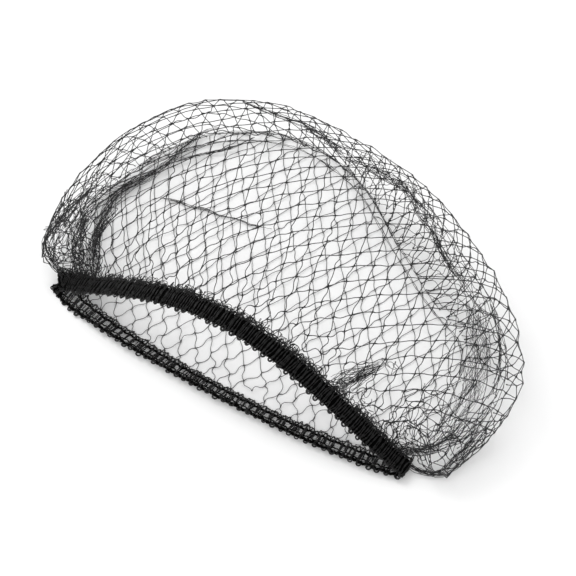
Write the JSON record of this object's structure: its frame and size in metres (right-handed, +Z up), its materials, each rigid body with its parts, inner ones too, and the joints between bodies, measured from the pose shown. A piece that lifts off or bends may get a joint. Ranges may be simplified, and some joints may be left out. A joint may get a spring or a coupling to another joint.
{
  "type": "hairnet",
  "caption": "Soft knotted net bag gathered on a ribbed elastic band, worn over the hair to hold it in; shown lying puffed open.",
  "frame": {"origin": "middle of the bottom of the whole, on the surface that the hairnet lies on", "axes": "+X along the mouth towards its right end, +Y from the mouth to the crown, +Z up"},
  "size_m": [0.2286, 0.1464, 0.0606],
  "materials": {
    "elastic_yarn": "matt knitted yarn",
    "net_thread": "fine nylon thread, slightly shiny"
  },
  "bodies": {
    "root": {"elastic_band": "elastic_yarn", "heading_chain": "elastic_yarn", "net_crown": "net_thread"}
  },
  "joints": []
}
